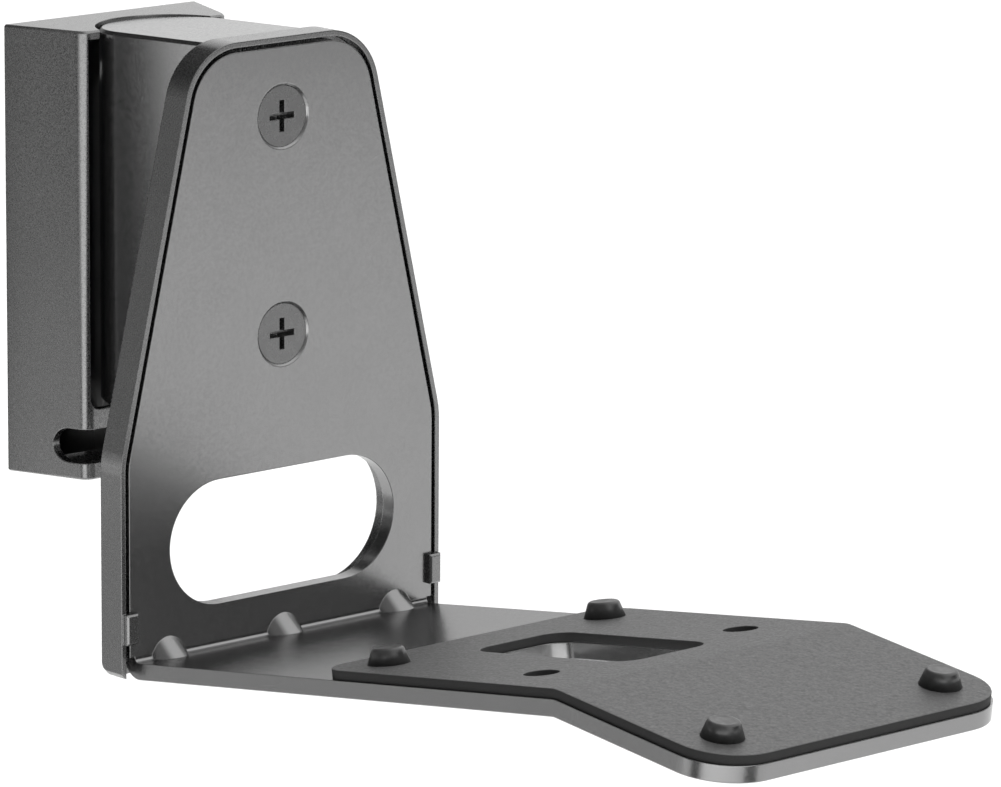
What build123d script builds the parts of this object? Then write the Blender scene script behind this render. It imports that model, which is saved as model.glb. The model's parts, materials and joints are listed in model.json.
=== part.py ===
from build123d import *
import os
from math import cos, radians, sin, tan

# Speaker wall bracket. Millimetres, +Z up. The origin is the centre of the wall bracket's
# back face, the wall is the plane Y = 0 and the shelf reaches into the room along -Y.

# Wall bracket
wall_plate_side_room = 2.1
wall_plate_end_room = 0.3
wall_plate_thickness = 3.0
wall_plate_corner = 4.0
wall_hole_radius = 2.6
wall_hole_side_margin = 6.9
wall_hole_end_margin = 8.0
axis_from_wall = 20.2
knuckle_radius = 9.8
knuckle_web_width = 5.0
knuckle_lift = 0.5
gusset_height = 8.0
lug_width = 9.0
lug_reach = 11.0
lug_height = 6.0

# Pivot stack
pivot_radius = 4.0
pivot_length = 55.0
pivot_head_radius = 6.5
pivot_head_height = 8.0
pivot_key_width = 6.0
pivot_key_depth = 4.5
pivot_head_sink = 0.9
spring_radius = 7.8
spring_thickness = 1.2
spring_rise = 0.6
bush_radius = 5.5
bush_length = 12.0
bush_flange_thickness = 0.8
lower_flange_radius = 8.0
upper_flange_radius = 9.4

# Swivel arm
arm_width = 26.0
arm_bottom = -28.0
arm_top_at_axis = 42.0
arm_top_rise = 2.5
arm_edge = 0.6
arm_pocket_top = 25.0
arm_mouth_angle = 46.0
tapped_overrun = 2.0

# Wall cover
cover_height = 83.8
cover_depth = 16.3
cover_wall_width = 45.2
cover_front_width = 33.6
cover_corner_radius = 2.6
cover_edge = 0.35
cover_wall = 1.6
cover_opening_below_arm = 0.7
cover_opening_radius = 2.0
notch_height = 6.4
notch_below_opening = 6.9
notch_depth = 7.0
notch_inset = 4.6
cover_screw_y = -6.5
cover_screw_radius = 1.5
cover_screw_head_radius = 2.8
cover_screw_length = 7.0
cover_recess_width = 0.6
cover_recess_span = 2.9
cover_recess_depth = 0.9

# Speaker plate, one folded sheet
sheet = 3.0
plate_from_wall = 52.6
plate_width = 71.8
plate_top = 42.0
plate_shoulder = -30.0
plate_taper = 13.4
plate_shoulder_radius = 15.0
plate_corner_radius = 10.0
bend_level = -66.5
bend_radius = 1.0
bend_relief = 1.2
shelf_width = 69.6
shelf_rise = 8.1
shelf_fall = 6.2
fold_reach = 111.5
shelf_reach = 152.0
fold_radius = 6.0
shelf_corner_radius = 10.5
cable_hole_length = 53.2
cable_hole_height = 23.1
cable_hole_above_bend = 19.5
slot_width = 21.0
slot_length = 39.6
slot_reach = 83.2
slot_radius = 4.5
speaker_hole_radius = 2.75
speaker_hole_spacing = 46.8
speaker_hole_reach = 96.2
dart_spacing = 27.0
dart_radius = 4.35
dart_height = 2.9
dart_hollow_radius = 2.6
dart_clip = 8.0

# Plate screws
screw_radius = 3.0
screw_length = 14.0
screw_head_radius = 5.65
screw_head_sink = 0.35
screw_spacing = 40.0
screw_middle = 9.35
recess_width = 1.2
recess_span = 5.8
recess_depth = 1.9
recess_taper = 8.0

# Back tray
tray_floor = 3.7
tray_gap = 0.85
tray_lip = 1.0
tray_back_edge = 0.9
tray_heel_radius = 2.2
tray_below_bend = 2.6
tray_hole_margin = 1.6
hook_height = 5.6
hook_above_bend = 6.6
hook_overlap = 1.2
hook_root = 0.65
hook_nose = 1.3
hook_edge = 0.35

# Shelf pad and nubs
pad_thickness = 1.6
pad_side_inset = 0.4
pad_rear_reach = 50.5
pad_front_inset = 0.3
pad_rear_radius = 6.0
pad_edge = 0.4
pad_hole_margin = 0.35
pad_slot_margin = 0.3
nub_base_radius = 3.8
nub_top_radius = 2.75
nub_height = 2.9
nub_spacing = 51.0
nub_rear_reach = 59.2
nub_front_reach = 142.3

# Clearances
running_gap = 0.05
bolt_gap = 0.3
pocket_gap = 0.5
arc_gap = 0.7

# Worked out from the values above
arm_half = arm_width / 2
axis_y = -axis_from_wall
gusset_reach = axis_from_wall - arm_half - pocket_gap
plate_front = -plate_from_wall
plate_back = plate_front + sheet
tray_back = plate_back + tray_floor
cover_top = cover_height / 2
cover_bottom = -cover_height / 2
cover_floor = cover_bottom + cover_wall
cover_ceiling = cover_top - cover_wall
cover_opening_bottom = arm_bottom - cover_opening_below_arm
notch_level = cover_opening_bottom - notch_below_opening
wall_plate_width = cover_wall_width - 2 * (cover_wall + wall_plate_side_room)
wall_plate_height = 2 * (cover_ceiling - wall_plate_end_room)
wall_hole_spacing_x = wall_plate_width - 2 * wall_hole_side_margin
wall_hole_spacing_z = wall_plate_height - 2 * wall_hole_end_margin
inner_back = cover_wall_width / 2 - cover_wall
inner_depth = cover_depth - cover_wall
inner_front = inner_back - inner_depth * (cover_wall_width - cover_front_width) / 2 / cover_depth
knuckle_bottom = arm_bottom + knuckle_lift
knuckle_top = arm_pocket_top - bush_flange_thickness
pivot_head_face = knuckle_bottom + pivot_head_sink + pivot_head_height
spring_top = pivot_head_face + spring_rise + spring_thickness
pivot_seat = spring_top + bush_flange_thickness
pivot_tip = pivot_head_face + pivot_length
screw_levels = (screw_middle + screw_spacing / 2, screw_middle - screw_spacing / 2)
screw_face = plate_front + screw_head_sink
screw_tip = screw_face + screw_length
rise_angle = radians(shelf_rise)
fall_angle = radians(shelf_fall)
fold_y = plate_front - fold_reach
fold_level = bend_level + fold_reach * tan(rise_angle)
cable_hole_level = bend_level + cable_hole_above_bend
tray_bottom = bend_level - tray_below_bend
hook_level = bend_level + hook_above_bend
hook_inner = plate_width / 2 - hook_overlap
hook_outer = plate_width / 2 + tray_gap + hook_root
pad_width = shelf_width - 2 * pad_side_inset


def room_plane(y):
    # A plane that faces the room at depth y: its own x is X and its own y is Z
    return Plane(origin=(0, y, 0), x_dir=(1, 0, 0), z_dir=(0, -1, 0))


def shelf_plane(reach, lift=0.0):
    # A plane on the shelf at a distance from the plate, raised above the sheet by lift
    if reach < fold_reach:
        level = bend_level + reach * tan(rise_angle)
        normal = Vector(0, sin(rise_angle), cos(rise_angle))
    else:
        level = fold_level - (reach - fold_reach) * tan(fall_angle)
        normal = Vector(0, -sin(fall_angle), cos(fall_angle))
    base = Vector(0, plate_front - reach, level)
    return Plane(origin=base + normal * lift, x_dir=(1, 0, 0), z_dir=normal)


def plate_outline(bottom, spread):
    # The tapered outline of the upright plate, grown by spread, down to the level bottom
    lean = radians(plate_taper)
    half = plate_width / 2 + spread
    top = plate_top + spread
    shoulder = plate_shoulder + spread * tan(lean / 2)
    top_half = half - (top - shoulder) * tan(lean)
    with BuildSketch() as outline:
        with BuildLine():
            Polyline((-half, bottom), (-half, shoulder), (-top_half, top), (top_half, top),
                     (half, shoulder), (half, bottom), close=True)
        make_face()
        fillet(outline.vertices().group_by(Axis.Y)[-1], plate_corner_radius + spread)
        fillet(outline.vertices().group_by(Axis.Y)[1], plate_shoulder_radius + spread)
    return outline.sketch


def side_strip(start_points, end_reach, radii, thickness, side):
    # The side profile of a layer that follows the shelf's top line, seen from +X
    end_level = fold_level - (end_reach - fold_reach) * tan(fall_angle)
    path = [*start_points, (fold_y, fold_level), (plate_front - end_reach, end_level)]
    with BuildSketch() as strip:
        with BuildLine() as line:
            FilletPolyline(*path, radius=radii)
            offset(amount=thickness, side=side)
        make_face()
    return strip.sketch


def dart_plane(lift):
    # A plane across the bend that the darts run through: its origin is the bend's inner corner,
    # moved by lift along the line that halves the angle between plate and shelf
    along = Vector(0, cos(rise_angle), 1 - sin(rise_angle)).normalized()
    outward = Vector(0, -along.Z, along.Y)
    corner = Vector(0, plate_front, bend_level)
    return Plane(origin=corner + outward * lift, x_dir=(1, 0, 0), z_dir=along)


def save(piece, name):
    piece.part.label = name
    export_step(piece.part, f"parts/{name}.step")


os.makedirs("parts", exist_ok=True)

# Wall bracket: one casting, a back plate with the knuckle that carries the swivel
with BuildPart() as wall_bracket:
    with BuildSketch(room_plane(0)):
        RectangleRounded(wall_plate_width, wall_plate_height, wall_plate_corner)
    extrude(amount=wall_plate_thickness)
    with BuildSketch(Plane.XY.offset(knuckle_bottom)):
        with Locations((0, axis_y)):
            Circle(knuckle_radius)
        with Locations((0, axis_y / 2)):
            Rectangle(knuckle_web_width, axis_from_wall)
    extrude(amount=knuckle_top - knuckle_bottom)
    # gussets above and below the web
    for level, way in ((knuckle_top, 1), (knuckle_bottom, -1)):
        with BuildSketch(Plane.YZ):
            with BuildLine():
                Polyline((0, level), (-gusset_reach, level),
                         (-wall_plate_thickness, level + way * gusset_height),
                         (0, level + way * gusset_height), close=True)
            make_face()
        extrude(amount=knuckle_web_width / 2, both=True)
    # lug that takes the cover's screw
    with BuildSketch(Plane.XY.offset(cover_floor)):
        with Locations((0, -lug_reach / 2)):
            Rectangle(lug_width, lug_reach)
    extrude(amount=lug_height)
    # bore for the bushes and the counterbore that takes the bolt's head from below
    for level, depth, radius in (
        (knuckle_bottom, knuckle_top - knuckle_bottom, bush_radius + running_gap),
        (knuckle_bottom, pivot_seat - knuckle_bottom, lower_flange_radius + bolt_gap),
    ):
        with BuildSketch(Plane.XY.offset(level)):
            with Locations((0, axis_y)):
                Circle(radius)
        extrude(amount=depth, mode=Mode.SUBTRACT)
    with Locations(room_plane(-wall_plate_thickness)):
        with GridLocations(wall_hole_spacing_x, wall_hole_spacing_z, 2, 2):
            Hole(wall_hole_radius, depth=wall_plate_thickness)
    with BuildSketch(Plane.XY.offset(cover_floor)):
        with Locations((0, cover_screw_y)):
            Circle(cover_screw_radius + running_gap)
    extrude(amount=lug_height, mode=Mode.SUBTRACT)
save(wall_bracket, "wall_bracket")

# Flanged bushes in both ends of the knuckle: the flanges are the joint's friction faces
for name, sleeve_level, flange_level, flange_radius in (
    ("lower_bush", pivot_seat, spring_top, lower_flange_radius),
    ("upper_bush", knuckle_top - bush_length, knuckle_top, upper_flange_radius),
):
    with BuildPart() as bush:
        for level, length, radius in (
            (sleeve_level, bush_length, bush_radius),
            (flange_level, bush_flange_thickness, flange_radius),
        ):
            with BuildSketch(Plane.XY.offset(level)):
                with Locations((0, axis_y)):
                    Circle(radius)
                    Circle(pivot_radius + running_gap, mode=Mode.SUBTRACT)
            extrude(amount=length)
    save(bush, name)

# Swivel arm: a casting that caps the knuckle with its round end and meets the tray flat
with BuildPart() as swivel_arm:
    with BuildSketch(Plane.XY.offset(arm_bottom)):
        with Locations((0, (tray_back + axis_y) / 2)):
            Rectangle(arm_width, axis_y - tray_back)
        with Locations((0, axis_y)):
            Circle(arm_half)
    extrude(amount=2 * cover_height)
    top_normal = Vector(0, sin(radians(arm_top_rise)), cos(radians(arm_top_rise)))
    split(bisect_by=Plane(origin=(0, axis_y, arm_top_at_axis), x_dir=(1, 0, 0), z_dir=top_normal),
          keep=Keep.BOTTOM)
    for end_face in (swivel_arm.faces().sort_by(Axis.Z)[-1], swivel_arm.faces().sort_by(Axis.Z)[0]):
        rim = end_face.edges().sort_by(Axis.Y)[1:]
        chamfer(rim, arm_edge)
    # pocket for the knuckle, open below, and the mouth that the knuckle's web swings in
    with BuildSketch(Plane.XY.offset(arm_bottom)):
        with Locations((0, axis_y)):
            Circle(knuckle_radius + pocket_gap)
        with BuildLine():
            mouth_half = arm_width * tan(radians(arm_mouth_angle))
            Polyline((0, axis_y), (-mouth_half, axis_y + arm_width), (mouth_half, axis_y + arm_width),
                     close=True)
        make_face()
    extrude(amount=arm_pocket_top - arm_bottom, mode=Mode.SUBTRACT)
    # tapped hole for the pivot bolt
    with BuildSketch(Plane.XY.offset(arm_pocket_top)):
        with Locations((0, axis_y)):
            Circle(pivot_radius + running_gap)
    extrude(amount=pivot_tip + tapped_overrun - arm_pocket_top, mode=Mode.SUBTRACT)
    # tapped holes for the plate screws
    with BuildSketch(room_plane(tray_back)):
        with Locations(*[(0, level) for level in screw_levels]):
            Circle(screw_radius + running_gap)
    extrude(amount=-(screw_tip + tapped_overrun - tray_back), mode=Mode.SUBTRACT)
save(swivel_arm, "swivel_arm")

# Pivot bolt: socket cap screw from below
with BuildPart() as pivot_bolt:
    for level, length, radius in (
        (pivot_head_face - pivot_head_height, pivot_head_height, pivot_head_radius),
        (pivot_head_face, pivot_length, pivot_radius),
    ):
        with BuildSketch(Plane.XY.offset(level)):
            with Locations((0, axis_y)):
                Circle(radius)
        extrude(amount=length)
    with BuildSketch(Plane.XY.offset(pivot_head_face - pivot_head_height)):
        with Locations((0, axis_y)):
            RegularPolygon(pivot_key_width / 2, 6, major_radius=False)
    extrude(amount=pivot_key_depth, mode=Mode.SUBTRACT)
save(pivot_bolt, "pivot_bolt")

# Disc spring between the bolt's head and the lower flange, which keeps the friction even
with BuildPart() as disc_spring:
    with BuildSketch(Plane.XZ.offset(-axis_y)):
        with BuildLine():
            spring_bore = pivot_radius + bolt_gap
            Polyline((spring_bore, pivot_head_face), (spring_bore, spring_top - spring_rise),
                     (spring_radius, spring_top), (spring_radius, pivot_head_face + spring_rise),
                     close=True)
        make_face()
    revolve(axis=Axis((0, axis_y, 0), (0, 0, 1)))
save(disc_spring, "disc_spring")

# Wall cover: a tapered moulded shell, open at the back
with BuildPart() as wall_cover:
    with BuildSketch(Plane.XY.offset(cover_bottom)):
        with BuildLine():
            Polyline((-cover_wall_width / 2, 0), (-cover_front_width / 2, -cover_depth),
                     (cover_front_width / 2, -cover_depth), (cover_wall_width / 2, 0), close=True)
        make_face()
    extrude(amount=cover_height)
    fillet(wall_cover.edges().filter_by(Axis.Z).group_by(Axis.Y)[0], cover_corner_radius)
    ends = wall_cover.faces().filter_by(Axis.Z).edges() - wall_cover.faces().sort_by(Axis.Y)[-1].edges()
    chamfer(ends, cover_edge)
    with BuildSketch(Plane.XY.offset(cover_floor)):
        with BuildLine():
            Polyline((-inner_back, 0), (-inner_front, -inner_depth),
                     (inner_front, -inner_depth), (inner_back, 0), close=True)
        make_face()
    extrude(amount=cover_ceiling - cover_floor, mode=Mode.SUBTRACT)
    # window in the front for the arm, as wide as the inside and rounded below
    with BuildSketch(room_plane(-inner_depth)) as window:
        with Locations((0, (cover_ceiling + cover_opening_bottom) / 2)):
            Rectangle(2 * inner_front, cover_ceiling - cover_opening_bottom)
        fillet(window.vertices().group_by(Axis.Y)[0], cover_opening_radius)
    extrude(amount=cover_depth, mode=Mode.SUBTRACT)
    # round cut in the top that the arm turns in
    with BuildSketch(Plane.XY.offset(cover_ceiling - cover_wall)):
        with Locations((0, axis_y)):
            Circle(arm_half + arc_gap)
    extrude(amount=cover_height, mode=Mode.SUBTRACT)
    # cable notches low in both sides
    for way in (-1, 1):
        with BuildSketch(Plane.YZ.offset(way * (inner_front - notch_inset))):
            notch_end = -cover_depth + notch_depth - notch_height / 2
            with Locations((notch_end, notch_level)):
                Circle(notch_height / 2)
            with Locations((notch_end - cover_depth / 2, notch_level)):
                Rectangle(cover_depth, notch_height)
        extrude(amount=way * cover_wall_width, mode=Mode.SUBTRACT)
    with Locations(Location((0, cover_screw_y, cover_bottom), (180, 0, 0))):
        CounterSinkHole(cover_screw_radius + bolt_gap, cover_screw_head_radius + running_gap,
                        depth=cover_wall * 2, counter_sink_angle=90)
save(wall_cover, "wall_cover")

# Cover screw, countersunk, from below into the lug
with BuildPart() as cover_screw:
    with BuildSketch(Plane.XZ.offset(-cover_screw_y)):
        with BuildLine():
            Polyline((0, cover_bottom), (cover_screw_head_radius, cover_bottom),
                     (cover_screw_radius, cover_bottom + cover_screw_head_radius - cover_screw_radius),
                     (cover_screw_radius, cover_bottom + cover_screw_length),
                     (0, cover_bottom + cover_screw_length), close=True)
        make_face()
    revolve(axis=Axis((0, cover_screw_y, 0), (0, 0, 1)))
    with BuildSketch(Plane.XY.offset(cover_bottom)):
        with Locations((0, cover_screw_y)):
            Rectangle(cover_recess_width, cover_recess_span)
            Rectangle(cover_recess_span, cover_recess_width)
    extrude(amount=cover_recess_depth, mode=Mode.SUBTRACT)
save(cover_screw, "cover_screw")

# Round ridges of the darts, clipped to the corner between plate and shelf
with BuildPart() as dart_ridges:
    with BuildSketch(dart_plane(dart_height - dart_radius)):
        with GridLocations(dart_spacing, 0, 3, 1):
            Circle(dart_radius)
    extrude(amount=dart_clip, both=True)
    with BuildSketch(Plane.YZ):
        with BuildLine():
            clip_y = plate_front + sheet / 2
            clip_z = bend_level - sheet / 2
            Polyline((clip_y, clip_z), (clip_y, clip_z + dart_clip), (clip_y - dart_clip, clip_z + dart_clip),
                     (clip_y - dart_clip, clip_z + dart_clip * tan(rise_angle)), close=True)
        make_face()
    extrude(amount=plate_width / 2, both=True, mode=Mode.INTERSECT)

# Speaker plate: one steel sheet, bent to a shelf, folded again near its front
with BuildPart() as speaker_plate:
    relief_level = bend_level + bend_relief
    with BuildSketch(room_plane(plate_front)):
        add(plate_outline(relief_level, 0))
    extrude(amount=-sheet)
    upright_start = [(plate_front, relief_level + bend_radius), (plate_front, bend_level)]
    with BuildSketch(Plane.YZ):
        add(side_strip(upright_start, shelf_reach, (bend_radius, fold_radius), sheet, Side.LEFT))
    extrude(amount=shelf_width / 2, both=True)
    front_face = speaker_plate.faces().sort_by(Axis.Y)[0]
    fillet(front_face.edges().sort_by(SortBy.LENGTH)[:2], shelf_corner_radius)
    # darts pressed in the bend: a round ridge inside, a smaller hollow outside
    add(dart_ridges.part)
    with BuildSketch(dart_plane(dart_height - sheet - dart_hollow_radius)):
        with GridLocations(dart_spacing, 0, 3, 1):
            Circle(dart_hollow_radius)
    extrude(amount=dart_clip, both=True, mode=Mode.SUBTRACT)
    with BuildSketch(room_plane(plate_front)):
        with Locations((0, cable_hole_level)):
            SlotOverall(cable_hole_length, cable_hole_height)
    extrude(amount=-sheet, mode=Mode.SUBTRACT)
    with BuildSketch(shelf_plane(slot_reach)):
        RectangleRounded(slot_width, slot_length, slot_radius)
    extrude(amount=-sheet, mode=Mode.SUBTRACT)
    with BuildSketch(shelf_plane(speaker_hole_reach)):
        with GridLocations(speaker_hole_spacing, 0, 2, 1):
            Circle(speaker_hole_radius)
    extrude(amount=-sheet, mode=Mode.SUBTRACT)
    with Locations(room_plane(plate_front)):
        with Locations(*[(0, level) for level in screw_levels]):
            CounterSinkHole(screw_radius + bolt_gap, screw_head_radius + screw_head_sink + running_gap,
                            depth=sheet * 2, counter_sink_angle=90)
save(speaker_plate, "speaker_plate")

# Plate screws: countersunk, cross recess, through plate and tray into the arm
for name, level in zip(("upper_plate_screw", "lower_plate_screw"), screw_levels):
    with BuildPart() as plate_screw:
        with BuildSketch(Plane.XY.offset(level)):
            with BuildLine():
                Polyline((0, screw_face), (screw_head_radius, screw_face),
                         (screw_radius, screw_face + screw_head_radius - screw_radius),
                         (screw_radius, screw_tip), (0, screw_tip), close=True)
            make_face()
        revolve(axis=Axis((0, 0, level), (0, 1, 0)))
        with BuildSketch(room_plane(screw_face)):
            with Locations((0, level)):
                Rectangle(recess_width, recess_span)
                Rectangle(recess_span, recess_width)
        extrude(amount=-recess_depth, taper=recess_taper, mode=Mode.SUBTRACT)
    save(plate_screw, name)

# Back tray: moulded, its rim frames the plate and two hooks hold the plate's edges
with BuildPart() as back_tray:
    with BuildSketch(room_plane(plate_front)):
        add(plate_outline(tray_bottom, tray_gap + tray_lip))
    extrude(amount=plate_front - tray_back)
    heel = back_tray.edges().filter_by(Axis.X).group_by(Axis.Z)[0].sort_by(Axis.Y)[-1]
    fillet(heel, tray_heel_radius)
    rear_rim = back_tray.faces().filter_by(Plane.XZ).sort_by(Axis.Y)[-1].edges()
    chamfer(rear_rim.sort_by(Axis.Z)[1:], tray_back_edge)
    with BuildSketch(room_plane(plate_front)):
        add(plate_outline(tray_bottom - tray_gap, tray_gap))
    extrude(amount=-sheet, mode=Mode.SUBTRACT)
    with BuildSketch(room_plane(plate_back)):
        with Locations((0, cable_hole_level)):
            SlotOverall(cable_hole_length + 2 * tray_hole_margin, cable_hole_height + 2 * tray_hole_margin)
        with Locations(*[(0, level) for level in screw_levels]):
            Circle(screw_radius + bolt_gap)
    extrude(amount=-tray_floor, mode=Mode.SUBTRACT)
    for way in (-1, 1):
        nose_middle = way * (hook_inner + hook_outer) / 2
        with BuildSketch(room_plane(plate_front)):
            with Locations((nose_middle, hook_level)):
                Rectangle(hook_outer - hook_inner, hook_height)
        extrude(amount=hook_nose)
        stem_inner = plate_width / 2 + running_gap
        with BuildSketch(room_plane(plate_front)):
            with Locations((way * (stem_inner + hook_outer) / 2, hook_level)):
                Rectangle(hook_outer - stem_inner, hook_height)
        extrude(amount=-sheet)
    chamfer(back_tray.faces().sort_by(Axis.Y)[:2].edges(), hook_edge)
save(back_tray, "back_tray")

# Shelf pad: a soft layer that follows the fold, with the shelf's slot and holes
with BuildPart() as shelf_pad:
    pad_start = [(plate_front - pad_rear_reach, bend_level + pad_rear_reach * tan(rise_angle))]
    with BuildSketch(Plane.YZ):
        add(side_strip(pad_start, shelf_reach - pad_front_inset, fold_radius, pad_thickness, Side.RIGHT))
    extrude(amount=pad_width / 2, both=True)
    pad_front = shelf_pad.faces().sort_by(Axis.Y)[0].edges().sort_by(SortBy.LENGTH)[:2]
    pad_rear = shelf_pad.faces().sort_by(Axis.Y)[-1].edges().sort_by(SortBy.LENGTH)[:2]
    fillet(pad_front, shelf_corner_radius - pad_front_inset)
    fillet(pad_rear, pad_rear_radius)
    # soften the rim of the top, which is two flats and the fold between them
    pad_top = shelf_pad.faces().filter_by(lambda face: face.normal_at().Z > 0.9).edges()
    chamfer([edge for edge in pad_top if pad_top.count(edge) == 1], pad_edge)
    with BuildSketch(shelf_plane(slot_reach)):
        RectangleRounded(slot_width + 2 * pad_slot_margin, slot_length + 2 * pad_slot_margin,
                         slot_radius + pad_slot_margin)
    extrude(amount=pad_thickness, mode=Mode.SUBTRACT)
    with BuildSketch(shelf_plane(speaker_hole_reach)):
        with GridLocations(speaker_hole_spacing, 0, 2, 1):
            Circle(speaker_hole_radius + pad_hole_margin)
    extrude(amount=pad_thickness, mode=Mode.SUBTRACT)
save(shelf_pad, "shelf_pad")

# Rubber nubs that the speaker stands on
nub_places = {
    "rear_left_nub": (-1, nub_rear_reach),
    "rear_right_nub": (1, nub_rear_reach),
    "front_left_nub": (-1, nub_front_reach),
    "front_right_nub": (1, nub_front_reach),
}
for name, (way, reach) in nub_places.items():
    with BuildPart() as nub:
        with Locations(shelf_plane(reach, pad_thickness)):
            with Locations((way * nub_spacing / 2, 0, nub_height / 2)):
                Cone(nub_base_radius, nub_top_radius, nub_height)
    save(nub, name)
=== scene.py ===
import bpy
import bmesh
import json
from math import cos, radians, sin, tan
from mathutils import Matrix, Vector


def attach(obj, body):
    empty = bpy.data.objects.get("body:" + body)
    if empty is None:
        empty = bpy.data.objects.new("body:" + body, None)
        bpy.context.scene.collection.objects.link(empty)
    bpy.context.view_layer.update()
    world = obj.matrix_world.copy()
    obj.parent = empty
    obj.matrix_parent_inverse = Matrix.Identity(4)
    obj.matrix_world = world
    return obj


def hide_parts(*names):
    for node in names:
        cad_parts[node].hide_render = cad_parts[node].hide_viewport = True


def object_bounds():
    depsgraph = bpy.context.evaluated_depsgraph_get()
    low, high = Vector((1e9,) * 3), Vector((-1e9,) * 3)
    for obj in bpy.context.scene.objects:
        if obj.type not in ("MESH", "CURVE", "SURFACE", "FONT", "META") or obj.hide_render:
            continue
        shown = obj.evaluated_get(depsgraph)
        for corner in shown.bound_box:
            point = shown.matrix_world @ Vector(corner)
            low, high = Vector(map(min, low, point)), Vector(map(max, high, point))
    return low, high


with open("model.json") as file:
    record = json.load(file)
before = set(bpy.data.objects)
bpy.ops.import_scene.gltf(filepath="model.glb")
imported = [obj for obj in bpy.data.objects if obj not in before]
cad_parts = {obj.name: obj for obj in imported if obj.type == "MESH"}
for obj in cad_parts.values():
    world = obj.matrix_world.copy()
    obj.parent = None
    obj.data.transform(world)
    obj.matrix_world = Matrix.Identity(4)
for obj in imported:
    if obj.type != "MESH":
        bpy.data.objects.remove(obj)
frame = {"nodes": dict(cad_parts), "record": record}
nodes = frame["nodes"]
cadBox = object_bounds()
mm = 0.001
print("frame loaded:", len(nodes), "nodes")


# Node helpers shared by the finishes
bevelSamples = 8


def newMaterial(name):
    material = bpy.data.materials.new(name)
    material.use_nodes = True
    tree = material.node_tree
    place = tree.nodes.new("ShaderNodeTexCoord").outputs["Object"]
    return material, tree, tree.nodes["Principled BSDF"], place


def addNoise(tree, place, size, detail, roughness=0.5, stretch=(1, 1, 1)):
    mapping = tree.nodes.new("ShaderNodeMapping")
    mapping.inputs["Scale"].default_value = stretch
    tree.links.new(place, mapping.inputs["Vector"])
    noise = tree.nodes.new("ShaderNodeTexNoise")
    noise.inputs["Scale"].default_value = 1 / size
    noise.inputs["Detail"].default_value = detail
    noise.inputs["Roughness"].default_value = roughness
    tree.links.new(mapping.outputs["Vector"], noise.inputs["Vector"])
    return noise.outputs["Fac"]


def addCells(tree, place, size, smoothness):
    cells = tree.nodes.new("ShaderNodeTexVoronoi")
    cells.feature = "SMOOTH_F1"
    cells.inputs["Scale"].default_value = 1 / size
    cells.inputs["Smoothness"].default_value = smoothness
    tree.links.new(place, cells.inputs["Vector"])
    return cells.outputs["Distance"]


def mapTo(tree, value, low, high, fromLow=0.35, fromHigh=0.65):
    # a noise lies mostly between these two limits
    ramp = tree.nodes.new("ShaderNodeMapRange")
    ramp.inputs["From Min"].default_value = fromLow
    ramp.inputs["From Max"].default_value = fromHigh
    ramp.inputs["To Min"].default_value = low
    ramp.inputs["To Max"].default_value = high
    tree.links.new(value, ramp.inputs["Value"])
    return ramp.outputs["Result"]


def mixColour(tree, value, dark, light):
    mix = tree.nodes.new("ShaderNodeMix")
    mix.data_type = "RGBA"
    mix.inputs["A"].default_value = (*dark, 1)
    mix.inputs["B"].default_value = (*light, 1)
    tree.links.new(value, mix.inputs["Factor"])
    return mix.outputs["Result"]


def grey(value, warmth=0.0):
    return (value * (1 + warmth), value, value * (1 - warmth))


def setSurface(tree, shader, settings, tone, wear):
    # tone drives the colour and wear the roughness
    colour = mixColour(tree, tone, settings["dark"], settings["light"])
    tree.links.new(colour, shader.inputs["Base Color"])
    below, above = settings["roughSpan"]
    rough = mapTo(tree, wear, settings["rough"] + below, settings["rough"] + above)
    tree.links.new(rough, shader.inputs["Roughness"])
    shader.inputs["Metallic"].default_value = settings["metal"]
    shader.inputs["Specular IOR Level"].default_value = settings["gloss"]


def setRelief(tree, shader, heights, edge):
    # edge rounds the sharp edges of the part, heights are (texture, depth) pairs
    rounded = tree.nodes.new("ShaderNodeBevel")
    rounded.samples = bevelSamples
    rounded.inputs["Radius"].default_value = edge
    normal = rounded.outputs["Normal"]
    for height, depth in heights:
        bump = tree.nodes.new("ShaderNodeBump")
        bump.inputs["Distance"].default_value = depth
        bump.inputs["Strength"].default_value = 1.0
        tree.links.new(height, bump.inputs["Height"])
        tree.links.new(normal, bump.inputs["Normal"])
        normal = bump.outputs["Normal"]
    tree.links.new(normal, shader.inputs["Normal"])


def makeFinish(name, settings):
    # tone and fine are textures: size, detail, roughness and stretch of a noise.
    # The fine one is the relief, and wear says which of the two drives the roughness
    material, tree, shader, place = newMaterial(name)
    textures = {kind: addNoise(tree, place, *settings[kind]) for kind in ("tone", "fine")}
    setSurface(tree, shader, settings, textures["tone"], textures[settings["wear"]])
    setRelief(tree, shader, [(textures["fine"], settings["depth"])], settings["edge"])
    return material


# Satin graphite powder coat: metal flake under a finely pebbled lacquer
powderCoat = {"dark": grey(0.235), "light": grey(0.255), "metal": 0.96, "gloss": 0.5,
              "rough": 0.30, "roughSpan": (-0.02, 0.03), "wear": "fine",
              "tone": (9 * mm, 3), "fine": (0.6 * mm, 2, 0.45),
              "depth": 0.0015 * mm, "edge": 0.25 * mm}
armCoat = {**powderCoat, "dark": grey(0.285), "light": grey(0.305), "rough": 0.23}
steelCoat = {**powderCoat, "dark": grey(0.260), "light": grey(0.280), "rough": 0.23}

# Moulded plastic with a metallic sheen and a fine spark texture
mouldedPlastic = {"dark": grey(0.205), "light": grey(0.225), "metal": 0.93, "gloss": 0.5,
                  "rough": 0.25, "roughSpan": (-0.04, 0.06), "wear": "fine",
                  "tone": (14 * mm, 2), "fine": (0.40 * mm, 3, 0.6),
                  "depth": 0.0015 * mm, "edge": 0.3 * mm}

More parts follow.
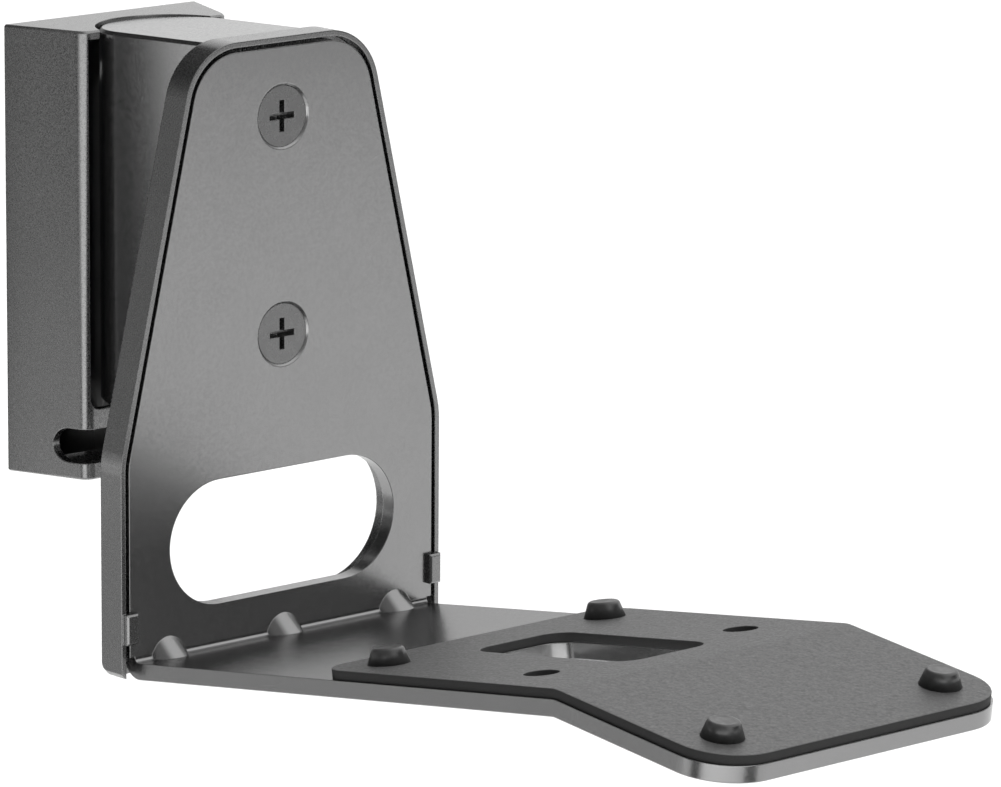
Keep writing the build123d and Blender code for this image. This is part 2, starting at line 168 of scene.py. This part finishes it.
# Smooth moulded rubber of the nubs, with a faint bloom
nubRubber = {"dark": grey(0.028), "light": grey(0.036), "metal": 0.0, "gloss": 0.8,
             "rough": 0.36, "roughSpan": (-0.05, 0.08), "wear": "tone",
             "tone": (1.4 * mm, 3), "fine": (0.5 * mm, 2),
             "depth": 0.002 * mm, "edge": 0.1 * mm}

# Black zinc of the countersunk screws
blackScrew = {"dark": grey(0.165), "light": grey(0.190), "metal": 0.90, "gloss": 0.5,
              "rough": 0.27, "roughSpan": (-0.04, 0.06), "wear": "tone",
              "tone": (1.8 * mm, 3), "fine": (0.2 * mm, 2),
              "depth": 0.003 * mm, "edge": 0.15 * mm}

# Zinc-plated steel of the pivot: spangle under an upright brush
zincSteel = {"dark": grey(0.42, -0.01), "light": grey(0.52, -0.01), "metal": 1.0, "gloss": 0.5,
             "rough": 0.28, "roughSpan": (-0.06, 0.1), "wear": "fine",
             "tone": (1.2 * mm, 2), "fine": (0.25 * mm, 2, 0.5, (1, 1, 0.1)),
             "depth": 0.003 * mm, "edge": 0.15 * mm}

# Sintered bronze of the bushes
bronzeGrain = (0.3 * mm, 4, 0.7)
bushBronze = {"dark": (0.42, 0.29, 0.15), "light": (0.56, 0.41, 0.22), "metal": 0.9, "gloss": 0.5,
              "rough": 0.42, "roughSpan": (0, 0.15), "wear": "fine",
              "tone": bronzeGrain, "fine": bronzeGrain,
              "depth": 0.01 * mm, "edge": 0.15 * mm}

# The pad's sides: matt, with painted shade that makes them darker than the pebbled skin
cutCells = (0.3 * mm, 4, 0.7)
padShadedSide = {"dark": grey(0.012), "light": grey(0.022), "metal": 0.0, "gloss": 0.5,
           "rough": 0.75, "roughSpan": (0, 0.1), "wear": "fine",
           "tone": cutCells, "fine": cutCells,
           "depth": 0.02 * mm, "edge": 0.1 * mm}

# The pad's skin: pebbled foam with finer creases
foamSheet = {"dark": grey(0.040), "light": grey(0.110), "metal": 0.0, "gloss": 0.5,
             "rough": 0.50, "roughSpan": (-0.08, 0.1),
             "tone": (1.3 * mm, 3, 0.6), "crease": (0.5 * mm, 3, 0.6), "creaseDepth": 0.015 * mm,
             "pebble": 1.1 * mm, "smoothness": 0.6, "pebbleDepth": 0.06 * mm, "edge": 0.2 * mm}


def makeFoamSheet(name, settings):
    material, tree, shader, place = newMaterial(name)
    pebble = addCells(tree, place, settings["pebble"], settings["smoothness"])
    crease = addNoise(tree, place, *settings["crease"])
    tone = addNoise(tree, place, *settings["tone"])
    setSurface(tree, shader, settings, tone, crease)
    heights = [(pebble, settings["pebbleDepth"]), (crease, settings["creaseDepth"])]
    setRelief(tree, shader, heights, settings["edge"])
    return material


finishes = {
    "cast_bracket": makeFinish("castBracket", powderCoat),
    "cast_arm": makeFinish("castArm", armCoat),
    "coated_steel": makeFinish("coatedSteel", steelCoat),
    "cover_plastic": makeFinish("coverPlastic", mouldedPlastic),
    "tray_plastic": makeFinish("trayPlastic", mouldedPlastic),
    "black_screw": makeFinish("blackScrew", blackScrew),
    "bolt_steel": makeFinish("boltSteel", zincSteel),
    "bush_bronze": makeFinish("bushBronze", bushBronze),
    "pad_foam": makeFoamSheet("padFoam", foamSheet),
    "nub_rubber": makeFinish("nubRubber", nubRubber),
}
for row in frame["record"]["subparts"]:
    node = nodes[row["node"]]
    for holder in node.material_slots:
        holder.material = finishes[row["material_slot"]]
print("finishes set:", len(finishes))


# Mesh helpers shared by the pieces

def makeObject(name, mesh, materials):
    # the finished bmesh as an object of the scene
    data = bpy.data.meshes.new(name)
    mesh.to_mesh(data)
    mesh.free()
    for material in materials:
        data.materials.append(material)
    made = bpy.data.objects.new(name, data)
    bpy.context.scene.collection.objects.link(made)
    return made


def addSheet(mesh, width, length):
    # a flat rectangle with its middle at the origin
    verts = bmesh.ops.create_grid(mesh, x_segments=1, y_segments=1, size=0.5)["verts"]
    bmesh.ops.scale(mesh, verts=verts, vec=(width, length, 1))
    return verts


def roundOff(mesh, geom, affect, radius, segments):
    bmesh.ops.bevel(mesh, geom=geom, affect=affect, offset=radius, segments=segments, profile=0.5,
                    material=-1)


# Shelf pad: a folded sheet of soft foam with a rounded rim, a slot and two holes. Lengths in
# millimetres. Along is measured from the shelf's fold: negative towards the plate, positive
# towards the front. The fold is the Y and Z of the fold's corner on the pad's underside
shelfPad = {"width": 68.8, "rear": -61.615, "front": 40.436, "rearCorner": 6.0, "frontCorner": 10.2,
            "thick": 1.75, "rim": 0.18, "rise": 8.1, "fall": 6.2, "foldRadius": 6.0,
            "fold": (-164.1, -50.6315)}
padSlot = {"width": 21.0, "length": 40.2, "corner": 4.6, "along": -28.585}
padHoles = {"radius": 3.1, "across": 23.4, "along": -15.454}
padMesh = {"cornerSegments": 10, "holeSegments": 40, "rimSegments": 3, "foldHalf": 2,
           "closest": 0.0001}
# How far a face looks up, from 0 to 1: below side it is a side, below skin it gets the darker side
# material of painted shade, and from level on it is shaded flat
padFacing = {"side": 0.5, "skin": 0.6, "level": 0.99}


def addOutline(mesh, width, low, high, corners):
    # a rounded rectangle left as a loop of edges; corners are (radius, at the low end) pairs
    middle = (low + high) / 2
    verts = addSheet(mesh, width, high - low)
    bmesh.ops.translate(mesh, verts=verts, vec=(0, middle, 0))
    face = verts[0].link_faces[0]
    for radius, atLowEnd in corners:
        ends = [vert for vert in face.verts if (vert.co.y < middle) == atLowEnd]
        roundOff(mesh, ends, "VERTICES", radius, padMesh["cornerSegments"])
        face = mesh.faces[:][0]
    bmesh.ops.delete(mesh, geom=[face], context="FACES_ONLY")


def foldReach():
    # how far the fold's arc reaches to each side of its corner
    return shelfPad["foldRadius"] * tan(radians(shelfPad["rise"] + shelfPad["fall"]) / 2)


def foldPoint(along, height):
    # the place, in Y and Z, of a point along the pad's underside and raised above it
    rise, fall = radians(shelfPad["rise"]), radians(shelfPad["fall"])
    radius, reach = shelfPad["foldRadius"], foldReach()
    foldY, foldZ = shelfPad["fold"]
    if along <= -reach:
        return (foldY - along * cos(rise) + height * sin(rise),
                foldZ + along * sin(rise) + height * cos(rise))
    if along >= reach:
        return (foldY - along * cos(fall) - height * sin(fall),
                foldZ - along * sin(fall) + height * cos(fall))
    turn = rise - (along + reach) / (2 * reach) * (rise + fall)
    centreY = foldY + reach * cos(rise) - radius * sin(rise)
    centreZ = foldZ - reach * sin(rise) - radius * cos(rise)
    return (centreY + (radius + height) * sin(turn), centreZ + (radius + height) * cos(turn))


def makePadSheet():
    # the flat sheet: outline, slot and holes, cut across where it will fold
    mesh = bmesh.new()
    addOutline(mesh, shelfPad["width"], shelfPad["rear"], shelfPad["front"],
               [(shelfPad["rearCorner"], True), (shelfPad["frontCorner"], False)])
    slotLow = padSlot["along"] - padSlot["length"] / 2
    addOutline(mesh, padSlot["width"], slotLow, slotLow + padSlot["length"],
               [(padSlot["corner"], True), (padSlot["corner"], False)])
    for side in (-1, 1):
        hole = bmesh.ops.create_circle(mesh, segments=padMesh["holeSegments"],
                                       radius=padHoles["radius"])["verts"]
        bmesh.ops.translate(mesh, verts=hole,
                            vec=(side * padHoles["across"], padHoles["along"], 0))
    bmesh.ops.triangle_fill(mesh, edges=mesh.edges[:], use_beauty=True)
    half = padMesh["foldHalf"]
    for step in range(-half, half + 1):
        bmesh.ops.bisect_plane(mesh, geom=mesh.verts[:] + mesh.edges[:] + mesh.faces[:],
                               dist=padMesh["closest"], plane_co=(0, step * foldReach() / half, 0),
                               plane_no=(0, 1, 0))
    return mesh


def makeShelfPad():
    mesh = makePadSheet()
    top = bmesh.ops.extrude_face_region(mesh, geom=mesh.faces[:])["geom"]
    raised = [piece for piece in top if isinstance(piece, bmesh.types.BMVert)]
    bmesh.ops.translate(mesh, verts=raised, vec=(0, 0, shelfPad["thick"]))
    bmesh.ops.recalc_face_normals(mesh, faces=mesh.faces[:])
    sides = [face for face in mesh.faces if abs(face.normal.z) < padFacing["side"]]
    rims = [edge for face in sides for edge in face.edges
            if edge.verts[0].co.z == edge.verts[1].co.z]
    roundOff(mesh, rims, "EDGES", shelfPad["rim"], padMesh["rimSegments"])
    for face in mesh.faces:
        face.smooth = abs(face.normal.z) < padFacing["level"]
        # steep faces get the second material: painted shade on the pad's sides
        face.material_index = 1 if abs(face.normal.z) < padFacing["skin"] else 0
    for vert in mesh.verts:
        across, along, height = vert.co
        y, z = foldPoint(along, height)
        vert.co = Vector((across, y, z)) * mm
    # the second material is a darker copy of the foam, painted shade for the sides
    pad = makeObject("softShelfPad", mesh, [finishes["pad_foam"], makeFinish("padShadedSide", padShadedSide)])
    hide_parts("shelf_pad")
    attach(pad, "swivel_head")


makeShelfPad()
print("shelf pad made")


# Nubs: moulded rubber cones with a rounded top edge and a shallow dished top. Their places
# are across and along the pad, lengths in millimetres
nubShape = {"base": 3.8, "top": 2.75, "height": 2.9, "edge": 0.5, "dish": 0.12, "rimWidth": 0.55,
            "segments": 56, "edgeSegments": 5}
nubPlaces = {
    "rear_left_nub": (-25.5, -52.826),
    "rear_right_nub": (25.5, -52.826),
    "front_left_nub": (-25.5, 30.981),
    "front_right_nub": (25.5, 30.981),
}


def topFace(mesh):
    return max(mesh.faces, key=lambda face: face.calc_center_median().z)


def makeNub(node, across, along):
    mesh = bmesh.new()
    bmesh.ops.create_cone(mesh, cap_ends=True, segments=nubShape["segments"],
                          radius1=nubShape["base"], radius2=nubShape["top"],
                          depth=nubShape["height"])
    bmesh.ops.translate(mesh, verts=mesh.verts, vec=(0, 0, nubShape["height"] / 2))
    roundOff(mesh, topFace(mesh).edges[:], "EDGES", nubShape["edge"], nubShape["edgeSegments"])
    bmesh.ops.inset_region(mesh, faces=[topFace(mesh)], thickness=nubShape["rimWidth"],
                           depth=-nubShape["dish"])
    lean = radians(shelfPad["rise"] if along < 0 else -shelfPad["fall"])
    bmesh.ops.rotate(mesh, verts=mesh.verts, matrix=Matrix.Rotation(-lean, 3, "X"))
    bmesh.ops.translate(mesh, verts=mesh.verts, vec=(across, *foldPoint(along, shelfPad["thick"])))
    bmesh.ops.scale(mesh, verts=mesh.verts, vec=(mm, mm, mm))
    for face in mesh.faces:
        face.smooth = len(face.verts) == 4
    nub = makeObject("soft_" + node, mesh, [finishes["nub_rubber"]])
    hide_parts(node)
    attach(nub, "swivel_head")


for node, place in nubPlaces.items():
    makeNub(node, *place)
print("nubs made:", len(nubPlaces))


# Stage, light and camera: lengths in metres from here on. A paper's mottle is how much
# lighter its light spots are
floorPaper = {"shade": 0.93, "mottle": 0.02, "cloud": 0.6, "rough": 0.9}
cardPaper = {"shade": 0.010, "mottle": 0.001, "cloud": 0.05, "rough": 0.95}


def makePaper(name, settings, glow):
    material, tree, shader, place = newMaterial(name)
    cloud = addNoise(tree, place, settings["cloud"], 1)
    shade = settings["shade"]
    colour = mixColour(tree, cloud, grey(shade), grey(shade + settings["mottle"]))
    tree.links.new(colour, shader.inputs["Base Color"])
    shader.inputs["Roughness"].default_value = settings["rough"]
    shader.inputs["Emission Color"].default_value = (1, 1, 1, 1)
    shader.inputs["Emission Strength"].default_value = glow
    return material


# The pale floor lies well below the part, so that no shadow falls near it
stage = {"drop": 0.30, "size": 24.0}


def makeStage():
    lowest = cadBox[0]
    mesh = bmesh.new()
    sheet = addSheet(mesh, stage["size"], stage["size"])
    bmesh.ops.translate(mesh, verts=sheet, vec=(0, 0, lowest.z - stage["drop"]))
    floor = makeObject("studioFloor", mesh, [makePaper("studioPaper", floorPaper, 0.0)])


# The room is bright to the front and right and dark behind on the left, as the reflections
# show; edge is where the dark turns to bright along toLight. The camera sees plain paper
studio = {"bright": 1.30, "dark": 0.30, "toLight": (0.75, -0.35, 0.10), "edge": (-0.05, 0.35),
          "paper": 1.0}


def makeSky():
    world = bpy.data.worlds.new("studioSky")
    world.use_nodes = True
    bpy.context.scene.world = world
    tree = world.node_tree
    place = tree.nodes.new("ShaderNodeTexCoord")
    side = tree.nodes.new("ShaderNodeVectorMath")
    side.operation = "DOT_PRODUCT"
    side.inputs[1].default_value = Vector(studio["toLight"]).normalized()
    tree.links.new(place.outputs["Generated"], side.inputs[0])
    glow = mapTo(tree, side.outputs["Value"], 0, 1, *studio["edge"])
    room = mixColour(tree, glow, grey(studio["dark"]), grey(studio["bright"]))
    seen = tree.nodes.new("ShaderNodeLightPath")
    paper = tree.nodes.new("ShaderNodeMix")
    paper.data_type = "RGBA"
    paper.inputs["B"].default_value = (*grey(studio["paper"]), 1)
    tree.links.new(seen.outputs["Is Camera Ray"], paper.inputs["Factor"])
    tree.links.new(room, paper.inputs["A"])
    tree.links.new(paper.outputs["Result"], tree.nodes["Background"].inputs["Color"])


# One large soft light overhead, behind on the right
overhead = {"strength": 1.9, "spread": 50, "from": (0.35, 0.60, 1.0)}


def makeOverhead():
    light = bpy.data.lights.new("overhead", "SUN")
    light.energy = overhead["strength"]
    light.angle = radians(overhead["spread"])
    lamp = bpy.data.objects.new("overhead", light)
    lamp.rotation_euler = Vector(overhead["from"]).to_track_quat("Z", "Y").to_euler()
    lamp.visible_glossy = False
    bpy.context.scene.collection.objects.link(lamp)


# Paper cards round the part that only the reflections see: facing is the way the card looks,
# foot moves its lower left corner outwards
reflectionCards = {
    # painted shade: two small dark sheets beside and inside the cover, seen only in reflections,
    # that darken the arm's flank and the cover's hollow
    "besideCoverShadeCard": {"paper": "dark", "centre": (-0.0360, 0.010, -0.002),
                        "facing": (0, -1, 0), "size": (0.015, 0.16), "foot": 0.017},
    "insideCoverShadeCard": {"paper": "dark", "centre": (-0.0155, -0.0036, 0.0),
                        "facing": (0, -1, 0), "size": (0.010, 0.078)},
    "behindShelfCard": {"paper": "grey", "centre": (0.42, 0.34, -0.055),
                        "facing": (-0.66, -0.75, 0), "size": (0.70, 0.21)},
    "shoulderCard": {"paper": "dark", "centre": (-0.12, 0.73, 0.56),
                     "facing": (0, -1, 0), "size": (1.00, 0.62)},
    "leftBackCard": {"paper": "grey", "centre": (-0.43, 0.34, -0.23),
                     "facing": (0.655, -0.726, 0), "size": (0.50, 0.20)},
    "leftCard": {"paper": "dark", "centre": (-1.20, 0.10, -0.01),
                 "facing": (1, 0, 0), "size": (0.50, 0.50)},
    "frontCard": {"paper": "dark", "centre": (0.06, -0.69, -0.24),
                  "facing": (-0.156, 0.988, 0), "size": (0.23, 0.24)},
    "cornerSideCard": {"paper": "dark", "centre": (-0.525, -0.15, -0.24),
                       "facing": (1, 0, 0), "size": (0.16, 0.24)},
    "frontRightCard": {"paper": "dark", "centre": (0.66, -0.74, 0.21),
                       "facing": (-0.66, 0.74, 0), "size": (1.00, 0.60)},
    "cameraSideCard": {"paper": "glow", "centre": (-0.52, -0.69, -0.19),
                       "facing": (0.707, 0.707, 0), "size": (1.00, 0.34)},
    # painted shade: a small dark sheet under the shelf, seen only in reflections, that darkens the
    # slot's walls
    "underShelfShadeCard": {"paper": "dark", "centre": (-0.034, -0.082, -0.0745),
                       "facing": (1, 0, 0), "size": (0.044, 0.015)},
}
cardGlow = {"dark": 0.0, "grey": 0.55, "glow": 2.2}
cardPapers = {paper: makePaper(paper + "CardPaper", cardPaper, glow)
              for paper, glow in cardGlow.items()}


def makeCard(name, settings):
    mesh = bmesh.new()
    sheet = addSheet(mesh, *settings["size"])
    turn = Vector(settings["facing"]).to_track_quat("Z", "Y").to_matrix()
    bmesh.ops.rotate(mesh, verts=sheet, matrix=turn)
    bmesh.ops.translate(mesh, verts=sheet, vec=settings["centre"])
    centre = Vector(settings["centre"])
    foot = [vert for vert in sheet if vert.co.z < centre.z and vert.co.x < centre.x]
    bmesh.ops.translate(mesh, verts=foot, vec=(-settings.get("foot", 0), 0, 0))
    card = makeObject(name, mesh, [cardPapers[settings["paper"]]])
    card.visible_camera = False
    card.visible_diffuse = False
    card.visible_shadow = False


# The camera stands where the photograph's camera stood: angles in degrees, lengths in metres,
# lens and sensor in millimetres
view = {"azimuth": -41.934, "elevation": 12.144, "roll": 0.391, "distance": 1.1305,
        "target": (0.00493, -0.10616, -0.01359), "lens": 231.18, "sensor": 36,
        "near": 0.05, "far": 100}


def makeCamera():
    azimuth, elevation = radians(view["azimuth"]), radians(view["elevation"])
    back = Vector((sin(azimuth) * cos(elevation), -cos(azimuth) * cos(elevation), sin(elevation)))
    right = Vector((cos(azimuth), sin(azimuth), 0))
    upright = Matrix((right, back.cross(right), back)).transposed()
    turn = upright @ Matrix.Rotation(radians(view["roll"]), 3, "Z")
    data = bpy.data.cameras.new("studioCamera")
    data.sensor_width = view["sensor"]
    data.lens = view["lens"]
    data.clip_start, data.clip_end = view["near"], view["far"]
    camera = bpy.data.objects.new("studioCamera", data)
    stand = Vector(view["target"]) + back * view["distance"]
    camera.matrix_world = Matrix.Translation(stand) @ turn.to_4x4()
    bpy.context.scene.collection.objects.link(camera)
    bpy.context.scene.camera = camera


makeStage()
makeSky()
makeOverhead()
for name, settings in reflectionCards.items():
    makeCard(name, settings)
makeCamera()
bpy.context.scene.view_settings.view_transform = "Standard"
print("stage, light and camera ready")
